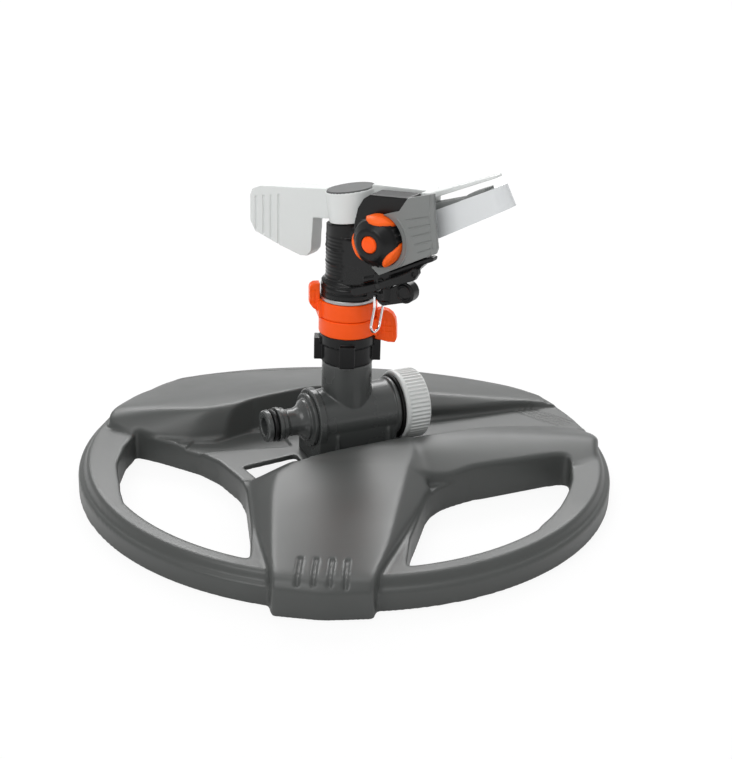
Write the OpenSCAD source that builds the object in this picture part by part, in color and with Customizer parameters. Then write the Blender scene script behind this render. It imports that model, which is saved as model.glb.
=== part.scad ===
// Impact sprinkler on a moulded sled base.
// Z is up from the ground and the riser stands on the Z axis. The tee lies along X, with the
// hose nipple towards -X and the end cap towards +X. Parts above the bearing are drawn in the
// head frame, where the jet leaves towards +X, and are then turned about Z by head_az.

/* [Sled base] */
// Outer diameter of the ring where it stands on the ground
base_d = 248; // [240:1:260]
// Height of the ring
ring_h = 14; // [13:0.5:16]
// Inner diameter of the ring
ring_id = 224; // [218:1:228]
// Distance from the centre to the flattened rear edge
rear_flat_r = 105.5; // [102:0.5:110]
// Wall thickness of the moulded shell
wall = 2.5; // [2:0.1:3]
// Height of the channel floor above the ground
deck_z = 12.5; // [11.5:0.1:13]

/* [Tee] */
// Height of the hose axis above the ground
tee_z = 32.5; // [32:0.1:34]
// Outer diameter of the tee tube
tube_d = 26.4; // [25:0.1:27]
// Outer diameter of the riser
riser_d = 23.1; // [22:0.1:24]
// Height of the riser shoulder
riser_top = 60; // [59.5:0.1:60]
// Diameter of the hose nipple at its sealing land
nipple_d = 15.9; // [15.7:0.05:16]
// Bore of the hose nipple
nipple_bore = 8.4; // [7.6:0.2:9]
// Outer diameter of the end cap
cap_d = 33; // [31:0.5:34]
// Number of grip ribs round the end cap
cap_ribs = 52; // [36:1:60]

/* [Head bearing] */
// Outer diameter of the arc collars
collar_d = 26.6; // [26:0.1:27.4]
// Outer diameter of the rotating stem
stem_d = 14; // [13.6:0.1:14.2]
// Running clearance of the turning parts, on the radius
run_gap = 0.05; // [0.03:0.01:0.08]
// Angle of the head about the riser at rest
head_az = -57.4; // [-60:0.1:-54]

/* [Head] */
// Diameter of the ribbed barrel
barrel_d = 20.7; // [20:0.1:21.4]
// Angle of the jet above the horizontal
jet_angle = 26; // [24:0.5:28]
// Diameter of the nozzle outlet
outlet_d = 4.2; // [3.5:0.1:5]
// Lean of the drive arm axis
arm_lean = 10; // [8:0.5:12]
// Diameter of the drive arm hub
hub_d = 22.8; // [22:0.1:23.2]
// Reach of the counterweight wing behind the riser axis
wing_reach = 52; // [48:1:54]
// Diameter of the jet knob
knob_d = 22; // [20:0.5:23]

/* [Hidden] */
$fn = 64;

// Colours shared by several pieces
grey = "#5f6361";
mid_grey = "#808483";
black = "#1d1e1f";
knob_black = "#202122";
orange = "#f8560f";
steel = "#c0c4c6";
dull_steel = "#b9bcbc";
washer_white = "#d8d4c4";

// Sled plan: the rear edge is an arc through both ends of a chord of the ring
point_size = 0.01;             // cube that stands for a point in a hull
rear_angle = 63.5;             // direction of the flattened rear edge
rear_half_angle = 48.5;        // half the angle the flattened edge spans
lobe_angle = -118;             // direction of the front lobe
base_r = base_d / 2;
ring_inner_r = ring_id / 2;
half_chord = base_r * sin(rear_half_angle);
sag = rear_flat_r - base_r * cos(rear_half_angle);
rear_arc_r = (half_chord * half_chord + sag * sag) / (2 * sag);
rear_arc_centre = rear_flat_r - rear_arc_r;    // along rear_angle
edge_steps = 4;                // steps round the upper edge of the ring
edge_step_h = 1.25;
deck_under = deck_z - wall;    // underside of the channel floor
screw_x = 12;                  // base screws, either side of the riser

// Tee and bearing
tube_back = -18.5;             // nipple end of the tee tube
cap_thread_r = 13.1;
stem_r = stem_d / 2;
water_r = 5.2;                 // waterway through the stem and barrel
neck_r = 11;                   // bearing nut inside the collars
neck_top = 90.2;
collar_r = collar_d / 2;
tab_root = 12.9;               // radius where the collar tabs start

// Head frame
barrel_r = barrel_d / 2;
jet_z = 112;                   // height at which the jet axis crosses the riser axis
hub_centre = [1.4, 0, 134.8];
knob_x = 23.9;
knob_z = 125;
knob_r = knob_d / 2;
knob_shaft_r = 2.3;
pad_angles = [85, 205, 325];
lever_x = 23;
lever_y = -2.6;
lever_pin_r = 1.5;
hoop_pivot = [18, lever_y, 95.8];
hoop_wire_r = 0.6;
hoop_half_w = 3.75;
bar_pin_x = 25;
bar_pin_z = 104.9;
bar_pin_r = 1.2;
arm_pin_r = 2.6;

// Plan outlines of the two large openings [x, y], from the centre outward
left_hole = [[-86, 55], [-77, 44.4], [-70.2, 34.7], [-63.5, 25.1], [-58.4, 11.8], [-55.7, -7.8],
    [-57.3, -20], [-65.5, -46.3], [-69.2, -57.2], [-80, -84], [-90, -100], [-125, -60],
    [-122, -22], [-111.2, -12], [-109.3, 0], [-107.3, 7.1], [-105.5, 16.1], [-102.8, 26.2],
    [-94, 43.4], [-88, 50.5]];
right_hole = [[-26, -118], [-8.4, -87.7], [-1.8, -79.1], [5.4, -69.5], [12.8, -59.5],
    [17.8, -54.4], [25.1, -50.1], [31.1, -48.4], [42.4, -46.5], [84.6, -47.2], [91.1, -48.2],
    [92.5, -50.4], [90.2, -55], [83.5, -66.8], [77, -75], [72.1, -80.4], [64.6, -87.8],
    [55.2, -95.1], [47, -100.4], [34, -115], [-20, -135]];
small_hole = [[-50, 3], [-23, 6], [-23, -16.5], [-47.5, -16.5]];

// Raised bodies: corner points [x, y, z] of each hull, tops first and then feet
front_lobe = [[-76.2, -100, 17.3], [-69, -81, 19], [-62, -64, 20], [-53, -41, 22],
    [-44, -28, 24], [-32, -21, 25], [22, -19, 25], [18, -32, 25], [7.5, -48, 23.5],
    [-6, -68.5, 21], [-19, -88.5, 19.3], [-31.5, -108, 18], [-39.6, -117, 17.3],
    [-59.2, -109, 17.8], [-77.3, -102.6, 16.1], [-41, -120.3, 16.1], [-60.4, -112.6, 16.4],
    [-42.4, -122.8, 12.4], [-61.3, -115.9, 12.4], [-78.4, -104.9, 12.4],
    [-56, -8, 0], [-57, -20, 0], [-69.2, -57.2, 0], [-78.4, -105.1, 0], [-61.4, -116.2, 0],
    [-42, -122.6, 0], [18, -54, 0], [20, -18, 0], [-30, -18, 0], [18, -54, 14], [-56, -8, 10]];
side_spoke = [[-30, -20.5, 25], [40, -18, 25], [62, -16.5, 23], [95, -18, 18], [112, -21, 15.2],
    [20, -31, 25], [43, -25, 25], [60, -26, 24], [80, -28, 22], [98, -32, 20], [112, -40, 18.5],
    [117.6, -31, 14.8], [116.4, -38, 15], [112.5, -43.5, 15], [25, -47.5, 18], [60, -47, 17],
    [90, -48.5, 13.3], [102.4, -57.3, 13.4],
    [-30, -18, 0], [40, -18, 0], [112, -18, 0], [112, -40, 0], [102.4, -57.3, 0],
    [90, -48.2, 0], [25, -48.5, 0], [0, -40, 0]];
rear_body = [[-95.6, 65.5, 18.6], [-94, 70, 19.6], [-90.5, 73, 20.4], [-84, 68, 22.3],
    [-76.5, 61, 24], [-68, 55, 25], [-61, 47, 26], [-54, 42, 26.5], [-27, 40.5, 28.5],
    [5, 42, 30], [30, 34, 25], [54, 18, 18.5], [79, 18, 13], [103, 14, 15], [115.6, 10, 15.2],
    [117.2, 20, 15], [111.5, 31, 15], [95, 51, 14.5], [70, 74, 14.5], [46, 87, 14.5],
    [16, 97, 14.5], [-15, 105, 14.5], [-44, 109.5, 14.5], [-75, 91, 17], [-87.6, 52.4, 14.35],
    [-80, 48.6, 13.6], [-63.7, 38.2, 13.4],
    [-97.5, 64, 0], [-96, 68, 0], [-91, 75, 0], [-86, 55, 0], [-63.7, 38, 0], [-48, 34, 0],
    [54, 18, 0], [115.6, 10, 0], [117.2, 20, 0], [111.5, 31, 0], [95, 51, 0], [46, 87, 0],
    [-15, 105, 0], [-44, 109.5, 0], [-75, 91, 0]];
// [corner points, plan scale of the hollow inside]
raised_bodies = [[front_lobe, 0.94], [side_spoke, 0.93], [rear_body, 0.955]];

// Channel floor and its recess, and the deck that stays under the channel [x, y]
channel = [[-70, 38.5], [-66, 20], [-60, 10], [-57, -10], [-47, -16.5], [-32, -20.5], [40, -18],
    [62, -16], [95, -17], [130, -22], [130, 6], [115, 9], [103, 12.5], [54, 17], [26, 34],
    [4, 39.5], [-30, 39.3], [-38.6, 37.4], [-45.5, 35.6], [-52.6, 34.2], [-57, 35.5],
    [-63.7, 38.4]];
recess = [[-67.4, 23.4], [-63.5, 24.6], [-55, 23.5], [-46.1, 21.7], [-35.5, 19.2], [-24, 16.3],
    [-20.5, 16.5], [-20.5, 32], [-44, 33.5], [-55, 33], [-66, 28]];
deck = [[-72.5, 41], [-66, 20], [-60, 10], [-57, -10], [-47, -18.5], [-32, -23], [40, -20.5],
    [62, -18.5], [95, -19.5], [130, -24], [130, 8.5], [115.8, 11.4], [103.8, 14.9], [56, 19.5],
    [27, 36.5], [4, 42.5], [-47, 42.5]];

// ================= helpers =================
// Mean of a list of 3D points
function mean(pts) = [for (axis = [0:2])
    [for (p = pts) 1] * [for (p = pts) p[axis]] / len(pts)];

// Points scaled in plan towards their mean and lowered by drop; feet go below the ground
function drawn_in(pts, plan_scale, drop) = let (centre = mean(pts)) [for (p = pts) [
    centre[0] + (p[0] - centre[0]) * plan_scale,
    centre[1] + (p[1] - centre[1]) * plan_scale,
    p[2] < 1 ? -1 : p[2] - drop]];

// Polygon with each corner moved by margin along its bisector
function unit(v) = v / norm(v);
function grown(pts, margin) = let (n = len(pts)) [for (i = [0:n - 1]) let (
    edge_in = unit(pts[i] - pts[(i + n - 1) % n]),
    edge_out = unit(pts[(i + 1) % n] - pts[i]),
    normal_in = [-edge_in[1], edge_in[0]],
    normal_out = [-edge_out[1], edge_out[0]],
    bisector = unit(normal_in + normal_out))
    pts[i] + bisector * margin / max(0.5, bisector * normal_in)];

module points(pts) {
    hull() for (p = pts)
        translate([p[0] - point_size / 2, p[1] - point_size / 2, p[2]]) cube(point_size);
}

// Frames: head, drive arm axis, jet axis (Z along the jet), tee axis (Z along +X),
// +Y from a point, and knob axis (Z towards -Y)
module turned(angle = head_az) { rotate([0, 0, angle]) children(); }
module leaned() { translate(hub_centre) rotate([0, -arm_lean, 0]) children(); }
module on_jet(along = 0) {
    translate([0, 0, jet_z]) rotate([0, -jet_angle, 0]) translate([along, 0, 0])
        rotate([0, 90, 0]) children();
}
module on_tee(x = 0) { translate([x, 0, tee_z]) rotate([0, 90, 0]) children(); }
module along_y(start) { translate(start) rotate([-90, 0, 0]) children(); }
module on_knob(out = 0) {
    translate([knob_x, 0, knob_z]) rotate([90, 0, 0]) translate([0, 0, out]) children();
}

module ring(outer_r, inner_r, h) {
    rotate_extrude() translate([inner_r, 0]) square([outer_r - inner_r, h]);
}
module tube_part(x0, x1, r) { on_tee(x0) cylinder(r = r, h = x1 - x0); }
module post(r, z0, z1) { translate([0, 0, z0]) cylinder(r = r, h = z1 - z0); }
// Upright plate from an [x, z] outline, between y0 and y1
module plate(outline, y0, y1) {
    translate([0, y1, 0]) rotate([90, 0, 0]) linear_extrude(y1 - y0) polygon(outline);
}
// Spring drawn as five separate rings
module coil(pitch, r, wire_d, wire_fn) {
    for (k = [0:4]) translate([0, 0, pitch * k])
        rotate_extrude() translate([r, 0]) circle(d = wire_d, $fn = wire_fn);
}

// ================= sled base =================
module hole_shapes(margin = 0) {
    for (outline = [left_hole, right_hole]) intersection() {
        polygon(grown(outline, margin));
        circle(r = ring_inner_r + margin, $fn = 96);
    }
}

// Plan of the flattened disc, stepped in by inset
module disc_shape(inset) {
    intersection() {
        circle(r = base_r - inset, $fn = 128);
        rotate([0, 0, rear_angle]) translate([rear_arc_centre, 0])
            circle(r = rear_arc_r - inset, $fn = 200);
    }
}

module stepped_disc() {
    wall_h = ring_h - edge_steps * edge_step_h;
    linear_extrude(wall_h) disc_shape(0);
    for (k = [0:edge_steps - 1]) translate([0, 0, wall_h + edge_step_h * k])
        linear_extrude(edge_step_h) disc_shape(1.2 + 1.4 * k);
}

// Slots across the front lobe: a top run and a steeper run down its outer end
module lobe_slots() {
    for (y = [-10.2, -3.7, 2.8, 9.1]) rotate([0, 0, lobe_angle]) {
        translate([117.6, y, 18.7]) rotate([0, 6, 0]) cube([11.6, 1.7, 1.6], center = true);
        translate([125.6, y, 15.7]) rotate([0, 41, 0]) cube([6.4, 1.7, 1.6], center = true);
    }
}

module underside_hollow() {
    difference() {
        union() {
            translate([0, 0, -1]) linear_extrude(deck_under + 1) disc_shape(3.2);
            for (body = raised_bodies) points(drawn_in(body[0], body[1], wall));
        }
        // walls round the openings
        translate([0, 0, -2]) linear_extrude(60) hole_shapes(wall);
        // central foot
        translate([0, 0, -2]) cylinder(r = 7, h = 40);
        translate([0, 0, deck_under]) linear_extrude(40) polygon(deck);
    }
}

module sled_base() color(grey) difference() {
    union() {
        stepped_disc();
        for (body = raised_bodies) points(body[0]);
    }
    translate([0, 0, deck_z]) linear_extrude(40) polygon(channel);
    translate([0, 0, deck_z - 1.1]) linear_extrude(5) polygon(recess);
    // finger grooves at the +X end of the channel
    for (i = [0:3]) translate([113 - 3 * i, 0, deck_z]) rotate([0, 0, -64])
        cube([26, 0.9, 1.2], center = true);
    lobe_slots();
    translate([0, 0, -1]) linear_extrude(60) {
        hole_shapes();
        polygon(small_hole);
    }
    underside_hollow();
    for (x = [-screw_x, screw_x]) translate([x, 0, 5]) cylinder(d = 3.6, h = 20, $fn = 32);
}

module base_screws() color("#9aa0a2") for (x = [-screw_x, screw_x]) translate([x, 0, 0]) {
    // head with a cross recess
    difference() {
        translate([0, 0, deck_under - 2.4]) cylinder(d = 6.4, h = 2.39, $fn = 32);
        translate([0, 0, deck_under - 2.5]) {
            cube([4, 0.9, 2.4], center = true);
            cube([0.9, 4, 2.4], center = true);
        }
    }
    translate([0, 0, deck_under - 0.5]) cylinder(d = 2.86, h = wall + 6.2, $fn = 32);
}

// ================= tee =================
// Saddle under the tube with its end walls, screw bosses and side gussets
module saddle() {
    translate([tube_back, -12.7, deck_z]) cube([39, 25.4, tee_z - 3.4 - deck_z]);
    translate([tube_back, -11.5, deck_z]) cube([3.3, 23, tee_z - deck_z]);
    translate([17.5, -9, deck_z]) cube([3, 18, 12]);
    for (x = [-screw_x, screw_x]) translate([x, 0, deck_z]) cylinder(d = 8, h = 10);
    for (x = [-9.5, 16], side = [-1, 1])
        translate([x - 0.7, 0, 0]) rotate([90, 0, 90]) linear_extrude(1.4)
            polygon([[side * 5, tee_z - 6], [side * 12.6, tee_z - 3.5],
                [side * 16, deck_z + 1.5], [side * 16, deck_z], [side * 5, deck_z]]);
}

module tee_body() color(grey) difference() {
    union() {
        tube_part(tube_back, 20.7, tube_d / 2);
        tube_part(tube_back, -15.2, 14.4);
        tube_part(20, 33, cap_thread_r);
        // two stepped collars beside the end cap
        for (x = [20.6, 21.7]) {
            tube_part(x, x + 0.55, 14.3);
            tube_part(x + 0.5, x + 1.15, 13.5);
        }
        translate([0, 0, tee_z]) cylinder(d = riser_d, h = riser_top - tee_z);
        post(10.2, tee_z, 68);
        saddle();
    }
    tube_part(-19, -8, 10.5);
    tube_part(-9, 34, 9.4);
    translate([0, 0, tee_z]) cylinder(r = 8.6, h = 40);
    for (x = [-screw_x, screw_x]) translate([x, 0, deck_z - 1])
        cylinder(d = 2.9, h = 7.5, $fn = 32);
}

// Profile [radius, position along X]
module hose_nipple() color(grey) on_tee() rotate_extrude()
    polygon([[nipple_bore / 2, -40.7], [nipple_bore / 2 + 0.3, -41], [6.8, -41], [7.4, -40.4],
        [7.4, -38.4], [5.2, -38.4], [5.2, -35.3], [nipple_d / 2, -35.3],
        [nipple_d / 2, -33.6], [7.4, -33.2], [7.4, -31.5], [6.3, -30.2], [6.3, -26.5],
        [6.6, -25.2], [7.3, -23.9], [8.4, -22.8], [9.6, -22], [9.6, -20.6], [12.4, -20.3],
        [12.4, tube_back - 0.02], [10.48, tube_back - 0.02], [10.48, -8.2], [7.5, -8.2],
        [7.5, -18], [nipple_bore / 2, -22]]);

module nipple_o_ring() color("#151515") on_tee(-36.85) rotate_extrude()
    translate([6.4, 0]) circle(r = 1.18);

module inlet_filter() color(dull_steel) on_tee(-16) difference() {
    union() {
        cylinder(r = 7.45, h = 1.2);
        cylinder(r = 5.2, h = 7);
    }
    translate([0, 0, -1]) cylinder(r = 4.4, h = 7.2);
    for (i = [0:5], k = [0:2]) rotate([0, 0, 60 * i]) translate([0, 0, 2.2 + 1.6 * k])
        rotate([0, 90, 0]) cylinder(d = 0.9, h = 8, $fn = 16);
}

module end_cap() color("#c9cbca") on_tee() difference() {
    cap_r = cap_d / 2;
    translate([0, 0, 24.3]) rotate_extrude() polygon([[0, 0], [cap_r - 0.5, 0], [cap_r, 0.5],
        [cap_r, 11.3], [cap_r - 1.2, 12.5], [0, 12.5]]);
    translate([0, 0, 24]) cylinder(r = cap_thread_r + run_gap, h = 9.6);
    // grooves between the grip ribs
    for (i = [0:cap_ribs - 1]) rotate([0, 0, 360 / cap_ribs * i])
        translate([cap_r + 0.3, 0, 26.3]) cylinder(r = 0.8, h = 12, $fn = 16);
}

module cap_seal() color("#1b1b1b") on_tee(22.9) rotate_extrude()
    polygon([[13.12, 0], [14.8, 0], [15.1, 0.25], [15.1, 0.45], [14.6, 0.65], [15.1, 0.85],
        [15.1, 1.1], [14.9, 1.33], [13.12, 1.33]]);

// ================= head bearing =================
module bearing_nut() color(black) difference() {
    union() {
        translate([0, 0, 60.05]) cylinder(r = 11.9, h = 9.5);
        translate([0, 0, 69]) cylinder(r = 12.8, h = 4.9);
        // four lugs
        for (a = [0:90:270]) rotate([0, 0, a - 24.4]) translate([9, -3.4, 60.8])
            cube([6.2, 6.8, 10.3]);
        post(neck_r, 72, neck_top);
    }
    translate([0, 0, 59]) cylinder(r = 10.25, h = 12);
    translate([0, 0, 70]) cylinder(r = stem_r + run_gap, h = 30);
}

module thrust_washers() color(washer_white) for (z = [69.75, 70.38])
    translate([0, 0, z]) ring(9.7, stem_r + 0.1, 0.55);

module bearing_stem() color("#b58b3c") difference() {
    union() {
        post(stem_r, 68.5, 106);
        post(9.5, 68.5, 69.7);
    }
    translate([0, 0, 60]) cylinder(r = water_r, h = 60);
}

module stem_seal() color("#222222") translate([0, 0, 92.15]) ring(8.7, stem_r + 0.02, 1.3);

module bearing_spring() color(steel) translate([0, 0, 94.1])
    coil(pitch = 1.22, r = 7.9, wire_d = 1.1, wire_fn = 24);

// Collar ring between z0 and z1, slit at 150 degrees from its tab
module collar(z0, z1) {
    bore_r = neck_r + run_gap;
    h = z1 - z0;
    difference() {
        translate([0, 0, z0]) rotate_extrude() polygon([[bore_r, 0], [collar_r - 0.4, 0],
            [collar_r, 0.4], [collar_r, h - 0.4], [collar_r - 0.4, h], [bore_r, h]]);
        rotate([0, 0, 150]) translate([10, -0.3, z0 - 1]) cube([5, 0.6, h + 2]);
    }
}

// Radial tab from a [reach, z] outline, with a wider pad at its root from z0 to z1
module grip_tab(outline, pad_reach, z0, z1) {
    plate(outline, -2.1, 2.1);
    plate([[tab_root, z0], [pad_reach, z0], [pad_reach, z1], [tab_root, z1]], -4.8, 4.8);
}

// Grooves in both faces of a tab: upright ones from [x, z], stepping outward and down,
// and three level ones centred on level_at [x, z]
module tab_grooves(upright_at, count, pitch, drop, height, level_at, level_length) {
    for (side = [-1, 1]) {
        for (k = [0:count - 1])
            translate([upright_at[0] + pitch * k, 2.1 * side, upright_at[1] - drop * k])
                cube([0.5, 0.7, height], center = true);
        for (k = [0:2]) translate([level_at[0], 2.1 * side, level_at[1] + 2.6 * k])
            cube([level_length, 0.7, 0.5], center = true);
    }
}

module lower_arc_collar() color(orange) turned(-33) {
    top = 81.95;
    collar(74, top);
    difference() {
        grip_tab([[tab_root, 71.6], [15, 71.2], [19, 70.4], [22, 70.5], [22.7, 72], [22.5, 78],
            [22, 81.4], [20.6, 83.9], [18.4, 85.4], [15.8, 86], [tab_root, 85.6]],
            14.2, 74, 81.9);
        tab_grooves(upright_at = [15.6, 78.4], count = 4, pitch = 1.9, drop = 0.4,
            height = 9.6, level_at = [18.6, 75.2], level_length = 6.6);
        // room for the nut below, the collar itself and the upper collar
        post(13.05, 60, 74);
        post(tab_root, 70, 84);
        post(13.35, top, 90);
    }
}

module upper_arc_collar() color(orange) turned(165.6) {
    base = 82.1;
    top = 90.1;
    collar(base, top);
    difference() {
        grip_tab([[tab_root, 84.4], [14, 84.4], [16.4, 86.2], [17.9, 88.4], [18, 95.6],
            [17.4, 97], [16, 97.8], [tab_root, 97.9]], 14.1, base, 90.05);
        tab_grooves(upright_at = [15.2, 91.4], count = 2, pitch = 1.7, drop = 0,
            height = 7.6, level_at = [16, 88.8], level_length = 3.2);
        // room for the collar itself and the head above
        post(tab_root, 80, neck_top);
        post(13.35, top, 110);
    }
}

module friction_ring() color(dull_steel) translate([0, 0, neck_top + 0.05]) rotate_extrude()
    polygon([[stem_r + 0.1, 0], [12.7, 0], [13, 0.3], [13, 1.4], [12.7, 1.7],
        [stem_r + 0.1, 1.7]]);

// ================= head =================
module barrel() {
    // flared foot and plain barrel
    rotate_extrude() polygon([[0, 92.05], [12.6, 92.05], [12.6, 94.3], [12.25, 94.5],
        [12.25, 94.8], [12.6, 95], [12.6, 96.9], [12.1, 97.2], [12.1, 97.5], [12.3, 97.7],
        [12.3, 98.7], [11.3, 99.3], [barrel_r, 100.4], [barrel_r, 122], [0, 122]]);
    // eleven fine rings; each ring_point is [height above the barrel, z offset]
    rotate_extrude() polygon(concat([[8, 101.5]],
        [for (k = [0:10], ring_point = [[0, -0.55], [0.22, -0.2], [0.22, 0.2], [0, 0.55]])
            [barrel_r - 0.02 + ring_point[0], 102.6 + 1.72 * k + ring_point[1]]],
        [[8, 121.5]]));
    // three larger ribs
    for (z = [100.6, 107.6, 114.8]) translate([0, 0, z]) rotate_extrude()
        polygon([[8, -0.5], [barrel_r, -0.5], [barrel_r + 0.55, 0.1], [barrel_r, 0.7],
            [8, 0.7]]);
    // top, cut square to the drive arm axis
    difference() {
        post(barrel_r, 121, 131);
        leaned() translate([-30, -30, -8.02]) cube(60);
    }
}

// Lip under the side panel, the web that carries it and the boss of the bar pin
module panel_support() {
    plate([[15, 103.2], [24, 106.9], [50, 120.2], [50.2, 121.8], [48.6, 122], [24, 108.6],
        [15, 105.5]], -11.9, -8);
    plate([[21, 101.4], [27.4, 103.4], [34.9, 107.8], [40.5, 112.6], [46, 118.4], [46.4, 121],
        [44, 123.5], [30, 125], [21, 122]], -11.2, -6.2);
    hull() {
        translate([0, 0, 98.5]) cylinder(r = 9.8, h = 22, $fn = 48);
        translate([20, -11.2, 103.8]) cube([5, 8, 17]);
    }
    plate([[21, 103], [29, 103], [29, 112], [21, 109]], -11.9, -9);
    along_y([bar_pin_x, -12.9, bar_pin_z]) cylinder(r = 2.4, h = 4, $fn = 32);
}

module head_body() color(black) turned() difference() {
    union() {
        barrel();
        // body that carries the nozzle
        hull() {
            translate([0, 0, 101]) cylinder(r = 8.5, h = 22, $fn = 32);
            on_jet(30) cylinder(r = 8.6, h = 8, $fn = 32);
        }
        on_jet() cylinder(r = 7.2, h = 45);
        panel_support();
        // shoulder block beside the drive arm
        plate([[9.4, 118], [9.4, 129], [11.2, 136.5], [14, 141.2], [17.4, 143.6],
            [36.2, 145.4], [37.2, 144.4], [33.6, 136], [32, 122]], -11.2, -1);
        // boss for the knob
        along_y([knob_x, -11.2, knob_z]) cylinder(r = 6, h = 8);
    }
    // stem socket and spring chamber, then the waterway up and along the jet
    translate([0, 0, 91]) cylinder(r = stem_r + 0.02, h = 15.1);
    translate([0, 0, 91]) cylinder(r = 8.75, h = 8.6);
    post(water_r, 100, 114);
    on_jet() cylinder(r = 3.6, h = 36);
    on_jet(35) cylinder(r = 4.8, h = 12);
    // seat of the arm pin and room round the arm hub
    leaned() {
        translate([0, 0, -14.7]) cylinder(r = 2.01, h = 10);
        translate([0, 0, -8.01]) cylinder(r = hub_d / 2 + 0.45, h = 22);
    }
    // bores for the knob shaft, the trip lever pin and the bar pin
    along_y([knob_x, -13, knob_z]) cylinder(r = knob_shaft_r + run_gap, h = 12.6);
    translate([lever_x, lever_y, 92]) cylinder(r = lever_pin_r + 0.02, h = 17, $fn = 32);
    along_y([bar_pin_x, -14, bar_pin_z]) cylinder(r = bar_pin_r + 0.02, h = 6, $fn = 32);
}

module nozzle_insert() color("#2b2c2d") turned() on_jet() difference() {
    translate([0, 0, 35.1]) cylinder(r = 4.75, h = 11.4);
    translate([0, 0, 35]) rotate_extrude() polygon([[0, -1], [3.6, -1], [3.6, 0.2],
        [outlet_d / 2, 7], [outlet_d / 2, 13], [0, 13]]);
}

module side_panel() color(mid_grey) turned() difference() {
    union() {
        plate([[22.6, 135.6], [33.4, 139.8], [37.6, 146.2], [50.2, 150.4], [50.8, 141],
            [53, 127], [52.2, 124.4], [49, 122.9], [24.4, 109.2], [20.6, 111.9], [22, 120]],
            -13.6, -11.95);
        // raised rim on the nozzle side of the knob
        intersection() {
            along_y([knob_x, -14, knob_z]) difference() {
                cylinder(r = 14.6, h = 1.5);
                translate([0, 0, -1]) cylinder(r = 13.9, h = 4);
            }
            plate([[30, 112.4], [40, 118.3], [40, 139], [32, 136]], -15, -12);
        }
    }
    along_y([knob_x, -15, knob_z]) cylinder(r = knob_r + 0.8, h = 10);
    // grip grooves
    for (k = [0:4]) translate([42.4 + 1.2 * k, -13.7, 138.1 - 3.3 * k])
        rotate([0, -17.5 - 2.2 * k, 0]) cube([11.6 - 0.7 * k, 0.9, 0.7], center = true);
    // shallow groove near the +X edge
    plate([[48.9, 152], [48.6, 141], [50.4, 127.6], [49.6, 122], [49, 122], [49.9, 127.6],
        [48.1, 141], [48.3, 152]], -13.9, -13.25);
}

module knob_shell() color(knob_black) turned() on_knob() difference() {
    union() {
        translate([0, 0, 11.3]) rotate_extrude() polygon([[knob_shaft_r, 0],
            [knob_r - 0.8, 0], [knob_r, 0.8], [knob_r, 4.6], [knob_r - 0.9, 6.9],
            [knob_r - 2.9, 8.9], [7, 10], [6, 10.4], [knob_shaft_r, 10.4]]);
        // grip ridges midway between the pads
        for (a = pad_angles, spread = [-13, 0, 13]) rotate([0, 0, a + 60 + spread])
            translate([knob_r - 0.1, 0, 11.9]) cylinder(r = 0.55, h = 4.4, $fn = 24);
    }
    // pad seats, button seat and shaft bore
    for (a = pad_angles) rotate([0, 0, a]) translate([8, 0, 12.7])
        rotate([0, 90, 0]) cylinder(r = 6.9, h = 8);
    translate([0, 0, 17.4]) cylinder(r = 3.9, h = 8);
    translate([0, 0, 5]) cylinder(r = knob_shaft_r + 0.02, h = 20);
}

module knob_pads() color(orange) turned() on_knob()
    for (a = pad_angles) rotate([0, 0, a]) intersection() {
        difference() {
            translate([8.02, 0, 12.7]) rotate([0, 90, 0]) cylinder(r = 6.85, h = 7.6);
            // crossed grip grooves
            for (y = [-4.5:1.5:4.5]) translate([11.7, y, 13])
                cube([1, 0.45, 20], center = true);
            for (z = [12.6:1.6:19]) translate([11.7, 0, z])
                cube([1, 20, 0.45], center = true);
        }
        translate([0, 0, 11.35]) rotate_extrude() polygon([[0, 0], [knob_r + 0.5, 0],
            [knob_r + 0.7, 4.7], [knob_r - 0.3, 7.3], [knob_r - 2.6, 9.4], [6.8, 10.2],
            [0, 10.2]]);
    }

module knob_button() color(orange) turned() on_knob(17.5) rotate_extrude()
    polygon([[0, 0], [3.8, 0], [3.8, 3.8], [3.3, 4.6], [1.8, 4.9], [0, 4.9]]);

module knob_shaft() color(knob_black) turned() on_knob(0.6)
    cylinder(r = knob_shaft_r, h = 16.75);

// ================= reversing mechanism =================
module trip_lever() color(black) turned() difference() {
    union() {
        translate([lever_x, lever_y, 94.6]) cylinder(r = 3.4, h = 6.2);
        // block that holds the hoop
        translate([13.2, -5.6, 94.2]) cube([9.8, 6, 3.6]);
        // rounded blade
        plate([[20.5, 98.8], [22.6, 92.3], [34.2, 96.3], [30.6, 104.3]], -5.2, 0);
        translate([32.3, 0, 100.3]) rotate([90, 0, 0]) cylinder(r = 4.9, h = 5.2);
        // raised ring on the blade's -Y face
        along_y([32.3, -5.6, 100.3]) difference() {
            cylinder(r = 3.6, h = 1);
            translate([0, 0, -1]) cylinder(r = 2.9, h = 4);
        }
        translate([21.6, 0, 95.6]) rotate([90, 0, 0]) cylinder(r = 3.5, h = 5.2);
    }
    translate([lever_x, lever_y, 90]) cylinder(r = lever_pin_r + run_gap, h = 20);
    along_y([hoop_pivot[0], -7, hoop_pivot[2]])
        cylinder(r = hoop_wire_r + run_gap, h = 10, $fn = 32);
}

module lever_pin() color(steel) turned() translate([lever_x, lever_y, 94])
    cylinder(r = lever_pin_r, h = 13.2);

module toggle_spring() color(steel) turned() translate([30, lever_y, 107.4])
    rotate([0, 64, 0]) coil(pitch = 1.1, r = 1.3, wire_d = 0.6, wire_fn = 20);

// Wire of the hoop: a straight run up from the origin, and a rounded joint
module wire(length, segments = 24) { cylinder(r = hoop_wire_r, h = length, $fn = segments); }
module wire_joint() { sphere(r = hoop_wire_r, $fn = 24); }

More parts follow.
